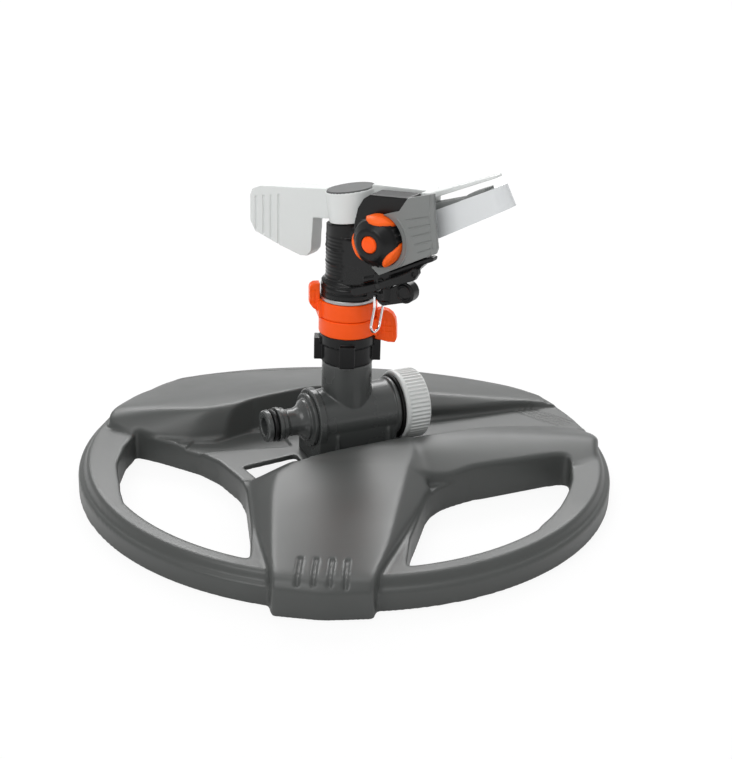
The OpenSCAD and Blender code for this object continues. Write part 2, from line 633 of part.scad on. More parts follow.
// Two legs, leaning below the elbow, joined by a half turn, with inward feet in the lever
module trip_hoop() color("#d5d8d9") turned() translate(hoop_pivot) {
    elbow_z = -5;
    leg_length = 8.4;
    bend_y = -2.46;            // centre of the half turn
    bend_z = -13.04;
    for (side = [-1, 1]) {
        translate([0, hoop_half_w * side, 0]) {
            translate([0, 0, elbow_z]) wire(-elbow_z);
            translate([0, 0, elbow_z]) wire_joint();
            translate([0, 0, elbow_z]) rotate([-17, 0, 0])
                translate([0, 0, -leg_length]) wire(leg_length);
            wire_joint();
        }
        translate([0, hoop_half_w * side + bend_y, bend_z]) wire_joint();
        rotate([90 * side, 0, 0]) translate([0, 0, -3.9]) wire(1.9, $fn);
    }
    translate([0, bend_y, bend_z]) rotate([90, 0, 90]) difference() {
        rotate_extrude($fn = 48) translate([hoop_half_w, 0])
            circle(r = hoop_wire_r, $fn = 24);
        translate([-6, 0, -3]) cube([12, 6, 6]);
    }
}

module reversing_bar() color("#242526") turned() difference() {
    plate([[11.2, 100.2], [11.4, 98.6], [13, 97.8], [14.6, 98.1], [23.2, 102], [30.8, 105.8],
        [40.6, 110], [43.2, 111.2], [45.2, 114.6], [44.8, 116.6], [42.6, 116.6],
        [40.4, 114.6], [35.6, 111.8], [30.7, 109.3], [23.1, 105.5], [18.5, 103.6],
        [12.2, 101.2]], -15.6, -13);
    // finger hollow at the outer end
    along_y([43, -15.7, 113.8]) cylinder(r = 1.1, h = 0.9, $fn = 32);
    along_y([bar_pin_x, -18, bar_pin_z]) cylinder(r = bar_pin_r + run_gap, h = 6, $fn = 32);
}

module bar_pin() color(steel) turned() along_y([bar_pin_x, -15.5, bar_pin_z])
    cylinder(r = bar_pin_r, h = 7.4, $fn = 32);

// ================= drive arm =================
module arm_solid() {
    leaned() translate([0, 0, -7.4]) cylinder(d = hub_d, h = 13.6);
    // counterweight wing
    plate([[-9.4, 139.8], [-46, 134.9], [-50.8, 132.6], [-wing_reach, 129.5],
        [-wing_reach, 117.5], [-49.2, 112.8], [-35, 108.6], [-24, 106.1], [-20, 106.6],
        [-17.9, 109.3], [-17, 125.2], [-12, 125.7], [-8.2, 126.3]], -4, 4);
    // band outward from the hub, and the block at its end
    plate([[8, 138], [8, 143.6], [13, 144.6], [39.5, 146.6], [40.5, 146.7], [40.5, 140.6],
        [36, 140.4], [10, 138]], 0.5, 8);
    plate([[38.5, 140.4], [38.5, 146.5], [43, 147.2], [43.2, 140]], -4, 5);
    // upper rail that rises over the jet, tapered in plan
    intersection() {
        plate([[38.6, 142.6], [41.9, 144], [74.2, 159.2], [73.6, 160.2], [43, 147.2],
            [38.6, 146.4]], -4, 8);
        linear_extrude(200) polygon([[38.6, -4], [76, -4], [76, -0.6], [70, 3.6], [44, 5],
            [38.6, 6]]);
    }
}

module drive_arm() color("#d8dad9") turned() difference() {
    arm_solid();
    // pin bore, spring groove and seat of the hub disc
    leaned() {
        translate([0, 0, -9]) cylinder(r = arm_pin_r + run_gap, h = 30);
        translate([0, 0, -5.2]) difference() {
            cylinder(r = 9, h = 9);
            translate([0, 0, -1]) cylinder(r = 4.4, h = 12);
        }
        translate([0, 0, 5.2]) cylinder(r = 10.95, h = 5);
    }
    // hollow in the +Y face of the wing
    plate([[-19.4, 134], [-45, 130.8], [-49.8, 128], [-49.8, 118.4], [-47.6, 114.8],
        [-34, 110.8], [-24, 108.3], [-20, 110]], -2.2, 5);
    // grip grooves on the wing, round at the top
    for (k = [0:3]) translate([-48.5 + 4.2 * k, -4.05, 121.2 - 0.2 * k]) {
        cube([1.3, 1.5, 15.6 + 2.4 * k], center = true);
        along_y([0, 0, 7.8 + 1.2 * k]) cylinder(r = 0.65, h = 0.75, $fn = 24);
    }
}

module hub_disc() color("#868888") turned() leaned() translate([0, 0, 5.2]) rotate_extrude()
    polygon([[0, 0], [10.9, 0], [10.9, 1.1], [10.5, 1.5], [0, 1.5]]);

module arm_pin() color(steel) turned() leaned() translate([0, 0, -14.6]) {
    cylinder(r = 2, h = 6.6);
    translate([0, 0, 6.6]) cylinder(r = arm_pin_r, h = 12.6);
}

module arm_spring() color(steel) turned() leaned() translate([0, 0, -4.4])
    coil(pitch = 1.5, r = 6.4, wire_d = 1.1, wire_fn = 24);

module arm_washer() color(washer_white) turned() leaned() translate([0, 0, -8])
    ring(6, 2.7, 0.55);

module deflector_bracket() color(mid_grey) turned()
    plate([[43.22, 139.2], [46.1, 140.3], [52.2, 142.8], [59.9, 145.9], [62.3, 148.4],
        [69.2, 151.9], [68.6, 153.5], [61.3, 150], [58.7, 147.6], [52, 145.2],
        [43.22, 142.2]], -4, 4);

// Vane plan: a straight run from start to a rounded outer end
module vane_plan(start, half_width) {
    bend_x = 31;
    translate([start, -half_width]) square([bend_x - start, 2 * half_width]);
    translate([bend_x, 0]) scale([1.25, 1]) circle(r = half_width);
}
module vane_prism() {
    translate([46, 0, 134]) rotate([0, -28.5, 0]) translate([0, 0, -22])
        linear_extrude(44) children();
}

module jet_deflector() color("#eceeee") turned() difference() {
    half_w = 5.2;
    union() {
        // curved wall, trimmed to the side outline
        intersection() {
            plate([[46.6, 140.7], [45.6, 127.6], [49.2, 128.8], [83.8, 149.1], [80, 158]],
                -half_w, half_w);
            vane_prism() difference() {
                vane_plan(-12, half_w);
                vane_plan(-13, half_w - 1);
            }
        }
        // roof of the vane
        intersection() {
            plate([[58, 146.7], [80, 158], [80.4, 157], [58.5, 145.7]], -half_w, half_w);
            vane_prism() vane_plan(-12, half_w);
        }
    }
    // seat of the bracket
    plate([[42, 139.2], [46.1, 140.28], [52.2, 142.78], [59.92, 145.88], [62.32, 148.38],
        [69.22, 151.88], [68.6, 153.6], [61.3, 151], [42, 144]], -4.02, 4.02);
}

sled_base();
base_screws();
tee_body();
hose_nipple();
nipple_o_ring();
inlet_filter();
end_cap();
cap_seal();
bearing_nut();
thrust_washers();
bearing_stem();
stem_seal();
bearing_spring();
lower_arc_collar();
upper_arc_collar();
friction_ring();
head_body();
nozzle_insert();
side_panel();
knob_shell();
knob_pads();
knob_button();
knob_shaft();
trip_lever();
lever_pin();
toggle_spring();
trip_hoop();
reversing_bar();
bar_pin();
drive_arm();
hub_disc();
arm_pin();
arm_spring();
arm_washer();
deflector_bracket();
jet_deflector();
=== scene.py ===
"""Impact sprinkler on a moulded sled base.

+Z is up and the sled stands on z = 0, its round rim centred on the origin. A channel for the tee
and the hose crosses the sled along X and is open at the +X end. The sled shell is meshed here from
a distance field; the other moulded parts are CAD pieces with their edges rounded. Shapes are in mm
and become metres when they are meshed; the floor, lights and camera are in metres.
"""
import math
import bmesh
import bpy
import numpy as np
from mathutils import Matrix, Vector


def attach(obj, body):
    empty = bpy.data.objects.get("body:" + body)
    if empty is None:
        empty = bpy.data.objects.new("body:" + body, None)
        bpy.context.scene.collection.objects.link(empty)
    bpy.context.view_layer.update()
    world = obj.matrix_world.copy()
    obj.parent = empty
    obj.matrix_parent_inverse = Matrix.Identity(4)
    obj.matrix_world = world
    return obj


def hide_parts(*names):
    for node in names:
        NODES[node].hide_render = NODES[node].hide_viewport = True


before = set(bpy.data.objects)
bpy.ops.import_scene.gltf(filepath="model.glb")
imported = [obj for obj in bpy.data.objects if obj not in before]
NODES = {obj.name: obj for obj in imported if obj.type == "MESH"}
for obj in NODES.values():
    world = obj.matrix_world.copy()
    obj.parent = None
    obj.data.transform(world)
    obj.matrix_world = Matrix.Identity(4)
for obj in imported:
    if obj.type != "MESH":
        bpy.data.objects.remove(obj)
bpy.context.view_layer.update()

MM = 0.001


# ---------------------------------------------------------------- shader nodes
BLACK, WHITE = (0, 0, 0, 1), (1, 1, 1, 1)


def feed(tree, node, inputs):
    """Links each named input that is given a socket and sets the others to their value."""
    for key, value in inputs.items():
        if isinstance(value, bpy.types.NodeSocket):
            tree.links.new(value, node.inputs[key])
        else:
            node.inputs[key].default_value = value


def add_node(tree, kind, inputs=None, **settings):
    node = tree.nodes.new("ShaderNode" + kind)
    for key, value in settings.items():
        setattr(node, key, value)
    feed(tree, node, inputs or {})
    return node


def add_ramp(tree, factor, positions=(0, 1), colours=(BLACK, WHITE)):
    ramp = add_node(tree, "ValToRGB", {"Fac": factor})
    for stop, position, colour in zip(ramp.color_ramp.elements, positions, colours):
        stop.position = position
        stop.color = colour
    return ramp.outputs["Color"]


def add_bump(tree, height, strength, distance):
    bump = add_node(tree, "Bump", {"Strength": strength, "Distance": distance, "Height": height})
    return bump.outputs["Normal"]


def new_material(name):
    material = bpy.data.materials.new(name)
    material.use_nodes = True
    tree = material.node_tree
    tree.nodes.clear()
    output = add_node(tree, "OutputMaterial")
    shader = add_node(tree, "BsdfPrincipled")
    tree.links.new(shader.outputs[0], output.inputs[0])
    return material, tree, shader


def linear(colour):
    """sRGB to linear."""
    return [v / 12.92 if v <= 0.04045 else ((v + 0.055) / 1.055) ** 2.4 for v in colour]


def shade(colour, factor, lift=0.0):
    return (*[min(1, c * factor + lift) for c in colour], 1)


# ---------------------------------------------------------------- materials
def plastic(name, colour, rough=0.42, vary=0.04, grain=0.12, grain_scale=2600.0, spec=0.5, edge_highlight=0.0):
    """Moulded plastic: slow colour drift, fine grain and a painted highlight that makes convex edges
    paler.
    """
    material, tree, shader = new_material(name)
    colour = linear(colour)
    place = add_node(tree, "TexCoord").outputs["Object"]
    mottle = add_node(tree, "TexNoise",
                      {"Scale": 14.0, "Detail": 5, "Roughness": 0.62, "Vector": place})
    base = add_ramp(tree, mottle.outputs["Fac"], positions=(0.3, 0.72),
                    colours=(shade(colour, 1 - vary), shade(colour, 1 + vary)))
    if edge_highlight > 0:
        # convex edges turn paler: a painted highlight along them
        geometry = add_node(tree, "NewGeometry")
        edges = add_ramp(tree, geometry.outputs["Pointiness"], positions=(0.52, 0.62))
        amount = add_node(tree, "Math", {0: edges, 1: edge_highlight}, operation="MULTIPLY")
        mix = add_node(tree, "MixRGB", {
            "Fac": amount.outputs[0], "Color1": base, "Color2": shade(colour, 1.5, lift=0.04)})
        base = mix.outputs["Color"]
    fine = add_node(tree, "TexNoise", {"Scale": grain_scale, "Detail": 3, "Vector": place})
    roughness = add_node(tree, "MapRange", {
        "Value": mottle.outputs["Fac"], "From Min": 0.3, "From Max": 0.7,
        "To Min": rough - 0.05, "To Max": rough + 0.07})
    feed(tree, shader, {
        "Base Color": base,
        "Roughness": roughness.outputs["Result"],
        "Normal": add_bump(tree, fine.outputs["Fac"], strength=grain, distance=0.00005),
        "Specular IOR Level": spec,
        "Coat Roughness": 0.2})
    return material


def metal(name, colour, rough=0.25, brush=0.2):
    """Drawn or turned metal: fine scratches along Z in roughness and bump."""
    material, tree, shader = new_material(name)
    colour = linear(colour)
    scale, stretch = 900.0, 0.04  # scratches across Z, and how far they are drawn out along it
    place = add_node(tree, "TexCoord").outputs["Object"]
    mapping = add_node(tree, "Mapping", {"Scale": (scale, scale, scale * stretch), "Vector": place})
    noise = add_node(tree, "TexNoise",
                     {"Scale": 1.0, "Detail": 4, "Vector": mapping.outputs["Vector"]})
    scratches = noise.outputs["Fac"]
    base = add_ramp(tree, scratches, colours=(shade(colour, 0.9), shade(colour, 1.05)))
    roughness = add_node(tree, "MapRange",
                         {"Value": scratches, "To Min": rough - 0.06, "To Max": rough + 0.08})
    feed(tree, shader, {
        "Base Color": base,
        "Roughness": roughness.outputs["Result"],
        "Normal": add_bump(tree, scratches, strength=brush, distance=0.00002),
        "Metallic": 1.0})
    return material


# the amount given for paler convex edges sets a painted highlight along them
MATERIALS = {
    "sled": plastic("sled_grey", (0.262, 0.27, 0.265), rough=0.40, vary=0.05, grain=0.14, edge_highlight=0.10),
    "tee": plastic("tee_grey", (0.25, 0.258, 0.255), rough=0.27, vary=0.05, grain=0.06, edge_highlight=0.25,
                   spec=0.55),
    "cap": plastic("cap_grey", (0.77, 0.78, 0.775), vary=0.02, grain=0.1, spec=0.4),
    "black": plastic("black_satin", (0.07, 0.072, 0.075), rough=0.30, vary=0.12, edge_highlight=0.25,
                     spec=0.26),
    "orange": plastic("orange_satin", (1.0, 0.345, 0.055), rough=0.36, vary=0.03, grain=0.08,
                      spec=0.22),
    "pad": plastic("orange_grip", (1.0, 0.39, 0.075), rough=0.5, vary=0.05, grain=0.4,
                   grain_scale=1500.0, spec=0.3),
    "panel": plastic("panel_grey", (0.475, 0.485, 0.48), rough=0.34, vary=0.03, edge_highlight=0.25, spec=0.4),
    "disc": plastic("disc_grey", (0.30, 0.305, 0.305), rough=0.45, vary=0.03, grain=0.15, spec=0.3),
    "arm": plastic("arm_pale", (0.84, 0.85, 0.845), rough=0.36, vary=0.015, grain=0.1, spec=0.4),
    "nylon": plastic("nylon", (0.86, 0.84, 0.78), rough=0.45, vary=0.03, grain=0.1),
    "filter": plastic("filter_plastic", (0.10, 0.10, 0.10), rough=0.5, vary=0.03, grain=0.1,
                      spec=0.2),
    "rubber": plastic("rubber_black", (0.06, 0.06, 0.06), rough=0.4, vary=0.1, grain=0.2,
                      grain_scale=1800.0, spec=0.3),
    "steel": metal("plain_steel", (0.72, 0.73, 0.74), rough=0.28),
    "wire": metal("bright_wire", (0.92, 0.92, 0.93), rough=0.16, brush=0.1),
    "ring": metal("ring_steel", (0.66, 0.66, 0.66), rough=0.34),
    "brass": metal("turned_brass", (0.80, 0.64, 0.34)),
    # pale plastic in place of the chrome vane: its pale colour is a painted reflection of the white
    # surroundings
    "chrome": plastic("vane_painted_reflection", (0.84, 0.85, 0.855), rough=0.14, vary=0.01, grain=0.02,
                      spec=0.7),
}


# ---------------------------------------------------------------- mesh helpers
def link_object(name, data):
    thing = bpy.data.objects.new(name, data)
    bpy.context.scene.collection.objects.link(thing)
    return thing


def dress(mesh, material, sharp_angle=None):
    """Gives the mesh one material and smooth shading, broken at edges over sharp_angle degrees."""
    mesh.materials.clear()
    mesh.materials.append(MATERIALS[material])
    mesh.polygons.foreach_set("use_smooth", [True] * len(mesh.polygons))
    if sharp_angle:
        mesh.set_sharp_from_angle(angle=math.radians(sharp_angle))
    mesh.update()


def finish_piece(piece, smoothing, material, body, node):
    """Smooths the piece, applies its modifiers and puts it in the place of a CAD node."""
    smooth = piece.modifiers.new("smooth", "SMOOTH")
    smooth.factor = 0.5
    smooth.iterations = smoothing
    depsgraph = bpy.context.evaluated_depsgraph_get()
    baked = bpy.data.meshes.new_from_object(piece.evaluated_get(depsgraph))
    source = piece.data
    piece.modifiers.clear()
    piece.data = baked
    bpy.data.meshes.remove(source)
    dress(baked, material)
    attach(piece, body)
    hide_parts(node)


def soften(node, voxel, smoothing, material, body):
    """A moulded version of a CAD node: the same solid with small round edges."""
    piece = link_object("moulded_" + node, NODES[node].data.copy())
    piece.modifiers.new("weld", "WELD").merge_threshold = 0.000002
    remesh = piece.modifiers.new("remesh", "REMESH")
    remesh.mode = "VOXEL"
    remesh.voxel_size = voxel * MM
    finish_piece(piece, smoothing, material, body, node)


# ---------------------------------------------------------------- distance fields
def surface_nets(field, xs, ys, zs):
    """Closed quad mesh of the zero level of field (negative inside), sampled at xs, ys, zs."""
    inside = field < 0
    count = inside.astype(np.int8)  # corners inside, for each cell
    count = count[:-1] + count[1:]
    count = count[:, :-1] + count[:, 1:]
    count = count[:, :, :-1] + count[:, :, 1:]
    crossed = (count > 0) & (count < 8)
    cells = np.nonzero(crossed)
    index = -np.ones(crossed.shape, np.int64)
    index[cells] = np.arange(len(cells[0]))

    # one vertex per crossed cell, at the mean of the crossings on its twelve edges
    total = np.zeros((len(cells[0]), 3))
    crossings = np.zeros(len(cells[0]))
    for axis in range(3):
        for a in (0, 1):
            for b in (0, 1):
                start = [a, b]
                start.insert(axis, 0)
                end = list(start)
                end[axis] = 1
                at0 = tuple(c + s for c, s in zip(cells, start))
                at1 = tuple(c + s for c, s in zip(cells, end))
                f0, f1 = field[at0], field[at1]
                cross = (f0 < 0) != (f1 < 0)
                t = np.where(cross, f0 / np.where(cross, f0 - f1, 1), 0)
                for k, samples in enumerate((xs, ys, zs)):
                    p0, p1 = samples[at0[k]], samples[at1[k]]
                    total[:, k] += np.where(cross, p0 + (p1 - p0) * t, 0)
                crossings += cross

    # one quad round each grid edge that crosses the surface
    faces = []
    for axis in range(3):
        u, v = [k for k in range(3) if k != axis]
        first = [slice(1, -1)] * 3
        second = list(first)
        first[axis], second[axis] = slice(0, -1), slice(1, None)
        edge = list(np.nonzero(inside[tuple(first)] != inside[tuple(second)]))
        edge[u] = edge[u] + 1
        edge[v] = edge[v] + 1
        flip = inside[tuple(edge)]
        if axis == 1:
            flip = ~flip
        quads = []
        for du, dv in ((1, 1), (0, 1), (0, 0), (1, 0)):
            corner = list(edge)
            corner[u] = edge[u] - du
            corner[v] = edge[v] - dv
            quads.append(index[tuple(corner)])
        quads = np.stack(quads, 1)
        faces.append(np.where(flip[:, None], quads, quads[:, ::-1]))
    return total / crossings[:, None], np.concatenate(faces)


def outline_field(outline, X, Y):
    """Signed distance to a closed outline, negative inside."""
    outline = np.array(outline, float)
    squared = np.full(X.shape, 1e18)
    sign = np.ones(X.shape)
    for i in range(len(outline)):
        a, b = outline[i], outline[i - 1]
        ex, ey = b - a
        wx, wy = X - a[0], Y - a[1]
        t = np.clip((wx * ex + wy * ey) / (ex * ex + ey * ey), 0, 1)
        bx, by = wx - ex * t, wy - ey * t
        squared = np.minimum(squared, bx * bx + by * by)
        above = Y >= a[1]
        below = Y < b[1]
        left = ex * wy > ey * wx
        sign = np.where((above & below & left) | (~above & ~below & ~left), -sign, sign)
    return sign * np.sqrt(squared)


def blur(values, sigma):
    """Separable Gaussian blur with edge padding, sigma in grid steps."""
    reach = int(math.ceil(sigma * 3))
    kernel = np.exp(-0.5 * (np.arange(-reach, reach + 1) / sigma) ** 2)
    kernel /= kernel.sum()
    for axis in (0, 1):
        padding = [(reach, reach) if i == axis else (0, 0) for i in range(2)]
        padded = np.pad(values, padding, mode="edge")
        result = np.zeros_like(values)
        n = values.shape[axis]
        for i, weight in enumerate(kernel):
            result += weight * (padded[i:i + n] if axis == 0 else padded[:, i:i + n])
        values = result
    return values


def smooth_max(a, b, k):
    h = np.clip(0.5 + 0.5 * (a - b) / k, 0, 1)
    return b * (1 - h) + a * h + k * h * (1 - h)


def smooth_min(a, b, k):
    return -smooth_max(-a, -b, k)


def hull_field(points, xs, ys, zs, k):
    """Distance-like field of the points' convex hull, open below, edges rounded over about 2k."""
    swell = 0.15   # outward offset of the whole hull
    margin = 6     # the field is worked out this far round the points
    outside = 8.0  # its value everywhere else
    bm = bmesh.new()
    for p in points:
        bm.verts.new(p)
    bmesh.ops.convex_hull(bm, input=bm.verts)
    points = np.array(points, float)
    centre = np.mean(points, 0)
    planes = {}  # nearly equal planes share a rounded key
    for face in bm.faces:
        if face.calc_area() < 0.01:
            continue
        face.normal_update()
        n = np.array(face.normal, float)
        p = np.array(face.verts[0].co, float)
        if n @ (centre - p) > 0:
            n = -n
        if n[2] > -0.5:
            planes[tuple(np.round([*(n * 25), n @ p]).astype(int))] = (n, n @ p)
    bm.free()
    box = []
    for samples, reach in ((xs, points[:, 0]), (ys, points[:, 1])):
        start = int(np.searchsorted(samples, reach.min() - margin)) - 1
        end = int(np.searchsorted(samples, reach.max() + margin)) + 1
        box.append(slice(max(0, start), end))
    x, y = xs[box[0]], ys[box[1]]
    total = np.zeros((len(x), len(y), len(zs)), np.float32)
    for n, d in planes.values():
        flat = ((n[0] * x[:, None] + n[1] * y[None, :] - d) / k).astype(np.float32)
        rise = (n[2] * zs / k).astype(np.float32)
        total += np.exp(np.minimum(flat[:, :, None] + rise[None, None, :], 40))
    field = np.full((len(xs), len(ys), len(zs)), outside, np.float32)
    field[box[0], box[1]] = k * np.log(total + 1e-30) - swell
    return field


# ---------------------------------------------------------------- sled base
RIM_RADIUS = 124.0
RIM_WIDTH = 12.0                     # the two large openings stop this far inside the rim
FLAT_ANGLE = math.radians(63.5)      # direction, from +X, of the rim's flatter arc
FLAT_HALF_SPAN = math.radians(48.5)  # the arc meets the round rim this far to each side
FLAT_REACH = 105.5                   # from the centre to the middle of the flatter arc
CHANNEL_FLOOR = 12.5
CHANNEL_DRAFT = 5.0                  # rise of the channel walls for each mm they lean out
TROUGH_DEPTH = 1.1
WALL = 2.4
FOOT_RADIUS = 7.0                    # solid foot under the centre

# distance in from the edge, height of the top
RIM_PROFILE = [
    (-5, 8.0), (0, 8.0), (0.35, 8.9), (0.8, 9.4), (1.6, 9.7), (2.5, 10.05), (3.2, 11.5),
    (4.0, 13.1), (4.7, 13.6), (5.7, 13.98), (14, 13.9), (30, 13.2)]

# outlines: x, y
OPENING_MINUS_X = [
    (-86, 55), (-77, 44.4), (-70.2, 34.7), (-63.5, 25.1), (-58.4, 11.8), (-55.7, -7.8),
    (-57.3, -20), (-65.5, -46.3), (-69.2, -57.2), (-80, -84), (-90, -100), (-125, -60),
    (-122, -22), (-111.2, -12), (-109.3, 0), (-107.3, 7.1), (-105.5, 16.1), (-102.8, 26.2),
    (-94, 43.4), (-88, 50.5)]
OPENING_MINUS_Y = [
    (-26, -118), (-8.4, -87.7), (-1.8, -79.1), (5.4, -69.5), (12.8, -59.5), (17.8, -54.4),
    (25.1, -50.1), (31.1, -48.4), (42.4, -46.5), (84.6, -47.2), (91.1, -48.2), (92.5, -50.4),
    (90.2, -55), (83.5, -66.8), (77, -75), (72.1, -80.4), (64.6, -87.8), (55.2, -95.1),
    (47, -100.4), (34, -115), (-20, -135)]
SMALL_OPENING = [(-50, 3), (-23, 6), (-23, -16.5), (-47.5, -16.5)]
TROUGH = [
    (-67.4, 23.4), (-63.5, 24.6), (-55, 23.5), (-46.1, 21.7), (-35.5, 19.2), (-24, 16.3),
    (-20.5, 16.5), (-20.5, 34), (-44, 42), (-60, 40), (-70, 30)]
CHANNEL = [
    (-70, 38.5), (-66, 20), (-60, 10), (-57, -10), (-47, -16.5), (-32, -20.5), (40, -18),
    (62, -16), (95, -17), (130, -22), (130, 6), (115, 9), (103, 12.5), (54, 17), (26, 34),
    (4, 39.5), (-30, 39.3), (-38.6, 37.4), (-45.5, 35.6), (-52.6, 34.2), (-57, 35.5),
    (-63.7, 38.4)]

# corners of the raised hulls: x, y, z
LOBE = [  # between the two large openings
    (-76.2, -100, 17.3), (-69, -81, 19), (-62, -64, 20), (-53, -41, 22), (-44, -28, 24),
    (-32, -21, 25), (22, -19, 25), (18, -32, 25), (7.5, -48, 23.5), (-6, -68.5, 21),
    (-19, -88.5, 19.3), (-31.5, -108, 18), (-39.6, -117, 17.3), (-59.2, -109, 17.8),
    (-77.3, -102.6, 16.1), (-41, -120.3, 16.1), (-60.4, -112.6, 16.4), (-42.4, -122.8, 12.4),
    (-61.3, -115.9, 12.4), (-78.4, -104.9, 12.4), (-56, -8, 0), (-57, -20, 0),
    (-69.2, -57.2, 0), (-78.4, -105.1, 0), (-61.4, -116.2, 0), (-42, -122.6, 0), (18, -54, 0),
    (20, -18, 0), (-30, -18, 0), (18, -54, 14), (-56, -8, 10)]
ARM = [  # along the -Y side of the channel
    (-30, -20.5, 25), (40, -18, 25), (62, -16.5, 23), (95, -18, 18), (112, -21, 15.2),
    (20, -31, 25), (43, -25, 25), (60, -26, 24), (80, -28, 22), (98, -32, 20), (112, -40, 18.5),
    (117.6, -31, 14.8), (116.4, -38, 15), (112.5, -43.5, 15), (25, -47.5, 18), (60, -47, 17),
    (90, -48.5, 13.3), (102.4, -57.3, 13.4), (-30, -18, 0), (40, -18, 0), (112, -18, 0),
    (112, -40, 0), (102.4, -57.3, 0), (90, -48.2, 0), (25, -48.5, 0), (0, -40, 0)]
BANK = [  # the +Y side of the sled
    (-95.6, 65.5, 18.6), (-94, 70, 19.6), (-90.5, 73, 20.4), (-84, 68, 22.3), (-76.5, 61, 24),
    (-68, 55, 25), (-61, 47, 26), (-54, 42, 26.5), (-27, 40.5, 28.5), (5, 42, 30), (30, 34, 25),
    (54, 18, 18.5), (79, 18, 13), (103, 14, 15), (115.6, 10, 15.2), (117.2, 20, 15),
    (111.5, 31, 15), (95, 51, 14.5), (70, 74, 14.5), (46, 87, 14.5), (16, 97, 14.5),
    (-15, 105, 14.5), (-44, 109.5, 14.5), (-75, 91, 17), (-87.6, 52.4, 14.35), (-80, 48.6, 13.6),
    (-63.7, 38.2, 12.9), (-97.5, 64, 0), (-96, 68, 0), (-91, 75, 0), (-86, 55, 0),
    (-63.7, 38.2, 0), (-48, 34.5, 0), (54, 18, 0), (115.6, 10, 0), (117.2, 20, 0),
    (111.5, 31, 0), (95, 51, 0), (46, 87, 0), (-15, 105, 0), (-44, 109.5, 0), (-75, 91, 0)]


def deep(plan):
    """A field over X and Y, made ready to combine with heights."""
    return plan[:, :, None].astype(np.float32)


def rim_plan(X, Y):
    """The sled's outline: a disc with a flatter arc on one side."""
    half_chord = RIM_RADIUS * math.sin(FLAT_HALF_SPAN)
    sag = FLAT_REACH - RIM_RADIUS * math.cos(FLAT_HALF_SPAN)
    radius = (half_chord ** 2 + sag ** 2) / (2 * sag)
    centre = FLAT_REACH - radius
    flat = np.hypot(X - centre * math.cos(FLAT_ANGLE), Y - centre * math.sin(FLAT_ANGLE)) - radius
    return smooth_max(np.hypot(X, Y) - RIM_RADIUS, flat, 5.0)


def line_distance(X, Y, degrees, start, end, offset=0.0):
    """Distance to a line from start to end in a direction turned from +X, moved sideways."""
    cos, sin = math.cos(math.radians(degrees)), math.sin(math.radians(degrees))
    along = X * cos + Y * sin
    across = -X * sin + Y * cos
    return np.hypot(along - np.clip(along, start, end), across - offset)


def groove_depth(X, Y):
    """Four slanting grooves at the channel's +X end and four slots at the lobe's outer end."""
    depth = np.zeros_like(X)
    for i in range(4):
        distance = line_distance(X - (113 - 3 * i), Y, degrees=-64, start=-13, end=13)
        depth += 0.8 * np.clip(1 - distance / 0.8, 0, 1)
    for offset in (-10.2, -3.7, 2.8, 9.1):
        distance = line_distance(X, Y, degrees=-118, start=112.6, end=127.6, offset=offset)
        depth += 1.1 * np.clip(1.35 - distance / 0.95, 0, 1)
    return depth


def sled_field(xs, ys, zs, step):
    X, Y = np.meshgrid(xs, ys, indexing="ij")
    Z = zs[None, None, :].astype(np.float32)
    from_centre = np.hypot(X, Y)

    def opening(outline):
        inner_radius = RIM_RADIUS - RIM_WIDTH
        plan = np.maximum(outline_field(outline, X, Y), from_centre - inner_radius)
        return blur(plan, 1.5 / step)

    # the plate inside the rim, with the raised bodies on it
    rim = rim_plan(X, Y)
    top = np.interp(-rim, *zip(*RIM_PROFILE))
    gx, gy = np.gradient(top, xs, ys)
    field = np.maximum((Z - deep(top)) / deep(np.sqrt(1 + gx ** 2 + gy ** 2)), deep(rim))
    bodies = smooth_min(hull_field(LOBE, xs, ys, zs, k=0.4), hull_field(ARM, xs, ys, zs, k=0.5), 5.0)
    bodies = smooth_min(bodies, hull_field(BANK, xs, ys, zs, k=0.6), 1.0)
    field = smooth_min(field, bodies, 1.3)
    del bodies

    # the channel with a little draft on its walls, and the shallow trough in its floor
    wall = deep(blur(outline_field(CHANNEL, X, Y), 0.6 / step))
    trough = blur(outline_field(TROUGH, X, Y), 0.5 / step)
    bottom = CHANNEL_FLOOR - TROUGH_DEPTH * np.clip(0.5 - trough / 0.9, 0, 1)
    lean = 0.98  # brings the leaning wall's field back to true distance
    cut = smooth_max((wall - (Z - CHANNEL_FLOOR) / CHANNEL_DRAFT) * lean, deep(bottom) - Z, 1.0)
    field = smooth_max(field, -cut, 0.7)
    del cut

    field = field + deep(groove_depth(X, Y))
    openings = np.minimum(opening(OPENING_MINUS_X), opening(OPENING_MINUS_Y))
    field = smooth_max(field, -deep(openings), 1.5)

    # hollow underside with one wall thickness, round the central foot
    hollow = np.maximum(field + WALL, FOOT_RADIUS - deep(from_centre))
    small = blur(outline_field(SMALL_OPENING, X, Y), 0.8 / step)
    field = smooth_max(field, -deep(small), 1.0)
    field = np.maximum(np.maximum(field, -hollow), 0.02 - Z).astype(np.float32)

    # the outermost samples are outside, so that the mesh closes
    field[[0, -1]] = 1
    field[:, [0, -1]] = 1
    field[:, :, [0, -1]] = 1
    return field


def sled():
    step = 0.65
    xs = np.arange(-126.5, 126.6, step)
    ys = np.arange(-126.5, 118.6, step)
    zs = np.arange(-1.3, 32.0, min(step, 0.9))
    verts, faces = surface_nets(sled_field(xs, ys, zs, step), xs, ys, zs)
    verts[:, 2] = np.maximum(verts[:, 2], 0)
    mesh = bpy.data.meshes.new("sled_shell")
    mesh.vertices.add(len(verts))
    mesh.vertices.foreach_set("co", (verts * MM).ravel())
    mesh.loops.add(faces.size)
    mesh.loops.foreach_set("vertex_index", faces.ravel())
    mesh.polygons.add(len(faces))
    mesh.polygons.foreach_set("loop_start", np.arange(0, faces.size, 4))
    mesh.update(calc_edges=True)
    mesh.validate()
    shell = link_object("sled_shell", mesh)
    finish_piece(shell, 2, "sled", "base", "sled_base")


sled()

